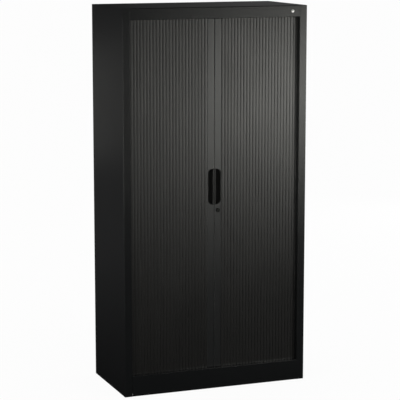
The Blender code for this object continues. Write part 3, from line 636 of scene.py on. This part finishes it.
def curtain(word, side):
    # slats set out along the hinge line: the front run, the round corner and the side run
    low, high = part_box("curtain_" + word)
    tailLow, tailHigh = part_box("tail_bar_" + word)
    start = min(abs(low.x), abs(high.x))
    hingeX, outside = sorted((abs(tailLow.x), abs(tailHigh.x)))  # inner and outer face of the side run
    hingeY = low.y + slatShape["ridgeHeight"] + slatShape["web"]
    radius = slatShape["cornerRadius"]
    cornerX, cornerY = hingeX - radius, hingeY + radius
    frontRun = cornerX - start
    arc = radius * math.pi / 2
    count = round((frontRun + arc + tailLow.y - cornerY) / slatShape["pitch"])
    master = oneSlat(low.z, high.z)

    def pointAt(run):
        if run <= frontRun:
            return Vector((start + run, hingeY))
        if run <= frontRun + arc:
            turn = (run - frontRun) / radius
            return Vector((cornerX + radius * math.sin(turn), cornerY - radius * math.cos(turn)))
        return Vector((hingeX, cornerY + run - frontRun - arc))

    slats = []
    for index in range(count):
        a = pointAt(index * slatShape["pitch"])
        b = pointAt((index + 1) * slatShape["pitch"])
        slat = copyOf(master, "slat")
        slat.location = (side * (a.x + b.x) / 2, (a.y + b.y) / 2, 0)
        slat.rotation_euler = (0, 0, side * math.atan2(b.y - a.y, b.x - a.x))
        slats.append(slat)
    bpy.data.objects.remove(master)
    lead = joined(slats[:slatShape["leadCount"]], "leadSlats_" + word)
    rest = joined(slats[slatShape["leadCount"]:], "slats_" + word)
    node = "curtain_" + word
    stand(lead, word + "_door", node, finishes["slatPlastic"])
    stand(rest, "carcass", node, finishes["slatPlastic"])
    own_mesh(rest)


for word, side in sides.items():
    curtain(word, side)


# posts that lead the curtains

postShape = {
    "wall": 0.0015, "edgeRadius": 0.0029, "lip": 0.006, "slotSpread": 0.001, "plateMargin": 0.008,
    "slotReach": 0.004, "lockHole": 0.0093, "cutterLead": 0.002,
}
pullShape = {
    "lip": 0.0078, "rim": 0.0025, "rimThickness": 0.0011, "corner": 0.023, "wall": 0.0012, "gap": 0.0003,
    "draft": 0.86, "draftEase": 0.2, "mouthEdge": 0.0008, "mouthSteps": 4, "mouthReach": 0.006,
    "middleReach": 0.001, "floorEdge": 0.004, "cornerSteps": 14, "overrun": 0.006,
}


def cutWith(piece, cutter):
    finishWith(piece, "BOOLEAN", operation="DIFFERENCE", solver="EXACT", object=cutter)
    bpy.data.objects.remove(cutter)


def seamAndOuter(low, high, side):
    # X of the face towards the middle seam, and of the one away from it
    return (low.x, high.x) if side > 0 else (high.x, low.x)


def pullBlock(name, word, side, growth, front, back):
    # a D-shaped block: the mouth of a finger pull, grown all round
    low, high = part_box("finger_pull_" + word)
    seam, outer = seamAndOuter(low, high, side)
    mouthSeam = seam + side * (pullShape["lip"] - growth)
    mouthOuter = outer - side * (pullShape["rim"] - growth)
    left, right = sorted((mouthSeam, mouthOuter))
    fall = pullShape["rim"] - growth
    piece = block(name, (left, front, low.z + fall), (right, back, high.z - fall))
    with editing(piece):
        rounded(
            lambda edge: liesAlong(edge, "Y") and near(middle(edge).x, mouthOuter),
            pullShape["corner"] + growth, pullShape["cornerSteps"]
        )
    return piece


def post(word, side):
    # an upright channel, open at the back between two lips
    node = "post_" + word
    low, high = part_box(node)
    seam, outer = seamAndOuter(low, high, side)
    lips = sorted((seam + side * postShape["lip"], outer - side * postShape["lip"]))
    piece = block("postShell_" + word, low, high)
    with editing(piece):
        for lip in lips:
            cutAt((lip, 0, 0), (1, 0, 0))
        pick("FACE", lambda face: (
            abs(face.normal.z) > facing or face.normal.y > facing and lips[0] < middle(face).x < lips[1]
        ))
        bpy.ops.mesh.delete(type="FACE")
        rounded(lambda edge: (
            liesAlong(edge, "Z") and (near(middle(edge).x, low.x) or near(middle(edge).x, high.x))
        ), postShape["edgeRadius"])
    sheetFrom(piece, postShape["wall"])
    growth = pullShape["wall"] + pullShape["gap"]
    front, back = low.y - postShape["cutterLead"], low.y + pullShape["overrun"]
    cutWith(piece, pullBlock("mouthCutter", word, side, growth, front, back))
    plate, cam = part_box("striker_plate"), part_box("lock_cam")
    reach, spread, margin = (postShape[key] for key in ("slotReach", "slotSpread", "plateMargin"))
    cutWith(piece, block(
        "hookCutter",
        (-reach, cam[0].y - spread, plate[0].z + margin), (reach, cam[1].y + spread, plate[1].z - margin)
    ))
    if word == "right":
        ring = sum(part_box("lock_housing"), Vector()) / 2
        place = (ring.x, low.y, ring.z)
        cutWith(piece, rod("lockCutter", place, postShape["lockHole"], pullShape["overrun"]))
    stand(smoothed(piece), word + "_door", node, finishes["postCoat"])


def fingerPull(word, side):
    # a moulded cup under a thin rim, its lip wrapped over the post's seam edge
    node = "finger_pull_" + word
    low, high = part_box(node)
    seam, outer = seamAndOuter(low, high, side)
    centreZ = (low.z + high.z) / 2
    rimBack = low.y + pullShape["rimThickness"]
    mouthSeam = seam + side * pullShape["lip"]
    mouthMiddle = (mouthSeam + outer - side * pullShape["rim"]) / 2
    floorY = high.y - pullShape["wall"]
    piece = block("pullCup_" + word, low, (high.x, rimBack, high.z))

    def inMouth(face, way):
        centre = middle(face)
        return (
            way * face.normal.y > facing and near(centre.x, mouthMiddle, pullShape["mouthReach"])
            and near(centre.z, centreZ, pullShape["middleReach"])
        )

    with editing(piece):
        rounded(
            lambda edge: liesAlong(edge, "Y") and near(middle(edge).x, outer),
            pullShape["corner"] + pullShape["rim"], pullShape["cornerSteps"]
        )
        # the mouth from the front, then the cup's outside from behind
        for way, level, ring, reach in (
            (-1, low.y, pullShape["rim"], floorY),
            (1, rimBack, pullShape["rim"] - pullShape["wall"], high.y),
        ):
            pick("FACE", lambda face: way * face.normal.y > facing)
            bpy.ops.mesh.inset(thickness=ring)
            pick("VERT", lambda vert: near(vert.co.y, level) and near(vert.co.x, seam + side * ring))
            move(x=side * (pullShape["lip"] - pullShape["rim"]))
            pick("FACE", lambda face: inMouth(face, way))
            extrude(y=reach - level)
            if way < 0:
                narrow = pullShape["draft"]
                shares = (narrow, 1, 1 - (1 - narrow) * pullShape["draftEase"])
                bpy.ops.transform.resize(value=shares, center_override=(mouthSeam, reach, centreZ))
        rounded(lambda edge: liesAtDepth(edge, floorY), pullShape["floorEdge"])
        rounded(lambda edge: (
            liesAtDepth(edge, low.y) and any(face.normal.y > -facing for face in edge.link_faces)
        ), pullShape["mouthEdge"], pullShape["mouthSteps"])
    stand(smoothed(piece), word + "_door", node, finishes["cupPlasticWithPaintedShade"])


for word, side in sides.items():
    post(word, side)
    fingerPull(word, side)
print("posts and finger pulls modelled")


# lock and badge

lockShape = {
    "flangeThickness": 0.0018, "flangeEdge": 0.0007, "bore": 0.0063, "bodyRadius": 0.009, "endWall": 0.0015,
    "plugEdge": 0.0004, "plugSteps": 3, "stemRadius": 0.003, "keywayWidth": 0.0012, "keywayLength": 0.0076,
    "keywayDepth": 0.004, "keywayLead": 0.001, "shoulder": 0.0018, "ringReach": 1e-4, "segments": 64,
}


def edgeRing(edge, place, radius, centre):
    # an edge of the circle of that radius about an axis along Y
    return near(middle(edge).y, place) and all(
        near((vert.co - centre).xz.length, radius, lockShape["ringReach"]) for vert in edge.verts
    )


def lockRing():
    # a flange and the body behind it, bored for the plug
    low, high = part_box("lock_housing")
    centre = (low + high) / 2
    radius = (high.z - low.z) / 2
    flangeBack = low.y + lockShape["flangeThickness"]
    place = (centre.x, (low.y + flangeBack) / 2, centre.z)
    piece = rod("lockRing", place, radius, lockShape["flangeThickness"], lockShape["segments"])
    with editing(piece):
        pick("FACE", lambda face: face.normal.y > facing)
        bpy.ops.mesh.inset(thickness=radius - lockShape["bodyRadius"])
        extrude(y=high.y - flangeBack)
        pick("FACE", lambda face: face.normal.y < -facing)
        bpy.ops.mesh.inset(thickness=radius - lockShape["bore"])
        extrude(y=high.y - lockShape["endWall"] - low.y)
        rounded(lambda edge: edgeRing(edge, low.y, radius, centre), lockShape["flangeEdge"])
        rounded(
            lambda edge: edgeRing(edge, low.y, lockShape["bore"], centre),
            lockShape["plugEdge"], lockShape["plugSteps"]
        )
    stand(smoothed(piece), "right_door", "lock_housing", finishes["lockRing"])


def lockPlug():
    # a barrel with a keyway, and the stem that carries the cam
    low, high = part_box("lock_plug")
    centre = (low + high) / 2
    radius = (high.z - low.z) / 2
    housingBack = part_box("lock_housing")[1].y
    back = housingBack - lockShape["shoulder"]
    place = (centre.x, (low.y + back) / 2, centre.z)
    piece = rod("lockBarrel", place, radius, back - low.y, lockShape["segments"])
    with editing(piece):
        pick("FACE", lambda face: face.normal.y > facing)
        bpy.ops.mesh.inset(thickness=radius - lockShape["stemRadius"])
        extrude(y=high.y - back)
        rounded(
            lambda edge: edgeRing(edge, low.y, radius, centre), lockShape["plugEdge"], lockShape["plugSteps"]
        )
    half = Vector((lockShape["keywayWidth"], 0, lockShape["keywayLength"])) / 2
    front = Vector((centre.x, low.y, centre.z))
    lead, depth = Vector((0, lockShape["keywayLead"], 0)), Vector((0, lockShape["keywayDepth"], 0))
    cutWith(piece, block("keywayCutter", front - half - lead, front + half + depth))
    stand(smoothed(piece), "lock", "lock_plug", finishes["lockPlug"])


badgeShape = {
    "segments": 64, "edge": 0.0009, "edgeSteps": 4, "edgeReach": 0.0002, "insetShares": (0.3, 0.25, 0.25),
    "domeShares": (0.99, 0.69, 0.44), "domeStep": 0.0002, "faceReach": 0.0005,
}


def badge():
    # a bare disc with a slightly domed face
    low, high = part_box("badge")
    centre = (low + high) / 2
    radius = (high.z - low.z) / 2
    faceEnd = high.y - badgeShape["faceReach"]
    piece = rod("badgeDisc", centre, radius, high.y - low.y, badgeShape["segments"])
    with editing(piece):
        pick("FACE", lambda face: face.normal.y < -facing)
        for share in badgeShape["insetShares"]:
            bpy.ops.mesh.inset(thickness=radius * share)
        for share in badgeShape["domeShares"]:
            reach = radius * share
            pick("VERT", lambda vert: vert.co.y < faceEnd and (vert.co - centre).xz.length > reach)
            move(y=badgeShape["domeStep"])
        rounded(lambda edge: (
            near((middle(edge) - centre).xz.length, radius, badgeShape["edgeReach"])
            and middle(edge).y < centre.y and not liesAlong(edge, "Y")
        ), badgeShape["edge"], badgeShape["edgeSteps"])
    stand(smoothed(piece), "carcass", "badge", finishes["badgeMetal"])


lockRing()
lockPlug()
badge()
print("lock and badge modelled")


# studio

studio = {
    "floorReach": 160, "floorParts": 8, "floorDrop": 0.0006, "floorTone": 0.82, "glowShare": 0.95,
    "paintedDarkGlow": 0.02, "floorGlow": 0.3, "paintedDarkTurns": ((21, 0), (-162, 0.2)), "paintedDarkFade": 0.4, "paintedDarkEdge": 0.8,
    "paintedShadeReach": 0.6, "openReach": 4.0, "centreSize": 0.01, "skyLevel": 0.75, "skyGlow": 0.24,
    "horizon": 0.35, "zenith": 0.8, "rimTurns": (0.29, 0.4), "rimGlows": (0.0, 0.11),
}


def rays(paint, name):
    # 1 for one kind of ray, 0 for the others
    made = paint.tree.nodes.new("ShaderNodeLightPath")
    return Wire(paint, made.outputs[name])


def mirroredFloor(paint):
    # what reflections see: pale, but with painted shade about the cabinet and painted dark patches in two
    # directions
    here = paint.coords()
    x, y = paint.axisOf(here, "X"), paint.axisOf(here, "Y")
    distance = (x * x + y * y) ** 0.5 + studio["centreSize"]
    # painted shade: the glow that reflections see is darkest about the cabinet
    share = paint.ramp(distance, studio["paintedShadeReach"], studio["openReach"])
    # painted dark patches in two directions, seen only in reflections
    for turn, veil in studio["paintedDarkTurns"]:
        ahead = x * math.sin(math.radians(turn)) - y * math.cos(math.radians(turn))
        share = share * paint.ramp(ahead / distance, studio["paintedDarkFade"], studio["paintedDarkEdge"], 1, veil)
    return share * (studio["floorGlow"] - studio["paintedDarkGlow"]) + studio["paintedDarkGlow"]


def studioFloor():
    # nearly white to the camera, painted shade and painted dark patches to reflections, matt to the rest
    clearSelection()
    bpy.ops.mesh.primitive_grid_add(
        x_subdivisions=studio["floorParts"], y_subdivisions=studio["floorParts"], size=studio["floorReach"],
        location=(0, 0, -studio["floorDrop"])
    )
    floor = bpy.context.active_object
    floor.name = "studioFloor"
    paint = newPaint("paleFloor")
    seen = rays(paint, "Is Camera Ray")
    mirrored = rays(paint, "Is Glossy Ray") + rays(paint, "Is Transmission Ray")
    matt = paint.node("ShaderNodeBsdfDiffuse", None, {"Color": grey(studio["floorTone"])})
    strength = seen + mirrored * mirroredFloor(paint)
    glow = paint.node("ShaderNodeEmission", None, {"Color": grey(1), "Strength": strength})
    share = seen * studio["glowShare"] + mirrored
    both = paint.node("ShaderNodeMixShader", None, {0: share, 1: matt, 2: glow})
    paint.node("ShaderNodeOutputMaterial", None, {"Surface": both})
    dress(floor, paint.owner)


def studioSky():
    # white to the camera, dark to reflections but for the zenith and the right of the horizon
    world = bpy.data.worlds.new("studioSky")
    bpy.context.scene.world = world
    paint = Paint(world)
    seen = rays(paint, "Is Camera Ray")
    mirrored = rays(paint, "Is Glossy Ray")
    ahead = paint.node("ShaderNodeTexCoord")
    up, across = paint.axisOf(ahead, "Z"), paint.axisOf(ahead, "X")
    rim = paint.ramp(across, *studio["rimTurns"], *studio["rimGlows"])
    high = paint.ramp(up, studio["horizon"], studio["zenith"], rim, studio["skyGlow"])
    strength = studio["skyLevel"] + seen * (1 - studio["skyLevel"]) + mirrored * (high - studio["skyLevel"])
    sky = paint.node("ShaderNodeBackground", None, {"Color": grey(1), "Strength": strength})
    paint.node("ShaderNodeOutputWorld", None, {"Surface": sky})


lampShape = {"distance": 6.0, "width": 1.2, "height": 1.0, "aimHeight": 1.0, "colour": (1, 1, 0.94)}
lamps = {  # degrees from the front towards the right, metres of height, watts
    "keySoftboxLow": (24, 0.76, 13.5),
    "keySoftboxMiddle": (29, 1.08, 21),
    "keySoftboxHigh": (38, 1.5, 26),
    "leftSoftbox": (-50, 0.5, 45),
    "sideSoftbox": (-162, 0.88, 0.66),
    "backSoftbox": (132, 0.9, 22),
    "rightSoftbox": (100, 1.1, 40),
    "cornerSoftbox": (-21, 0.8, 80),
}


def softbox(name, azimuth, height, watts):
    # a soft lamp on a circle about the cabinet
    turn, distance = math.radians(azimuth), lampShape["distance"]
    place = Vector((distance * math.sin(turn), -distance * math.cos(turn), height))
    aim = Vector((0, 0, lampShape["aimHeight"]))
    light = bpy.data.lights.new(name, "AREA")
    light.shape = "RECTANGLE"
    light.size = lampShape["width"]
    light.size_y = lampShape["height"]
    light.energy = watts
    light.color = lampShape["colour"]
    lamp = bpy.data.objects.new(name, light)
    lamp.location = place
    lamp.rotation_euler = (aim - place).to_track_quat("-Z", "Y").to_euler()
    lamp.visible_camera = False
    bpy.context.collection.objects.link(lamp)


view = {"place": (-3.051, -7.916, 2.383), "yaw": 21.12, "pitch": -9.55, "lens": 146.9, "farEnd": 300}


def makeCamera():
    data = bpy.data.cameras.new("camera")
    data.lens = view["lens"]
    data.clip_end = view["farEnd"]
    camera = bpy.data.objects.new("camera", data)
    camera.location = view["place"]
    camera.rotation_euler = (math.radians(90 + view["pitch"]), 0, math.radians(-view["yaw"]))
    bpy.context.collection.objects.link(camera)
    bpy.context.scene.camera = camera


studioFloor()
studioSky()
for name, setup in lamps.items():
    softbox(name, *setup)
makeCamera()
bpy.context.scene.view_settings.view_transform = "Standard"
print("studio ready")
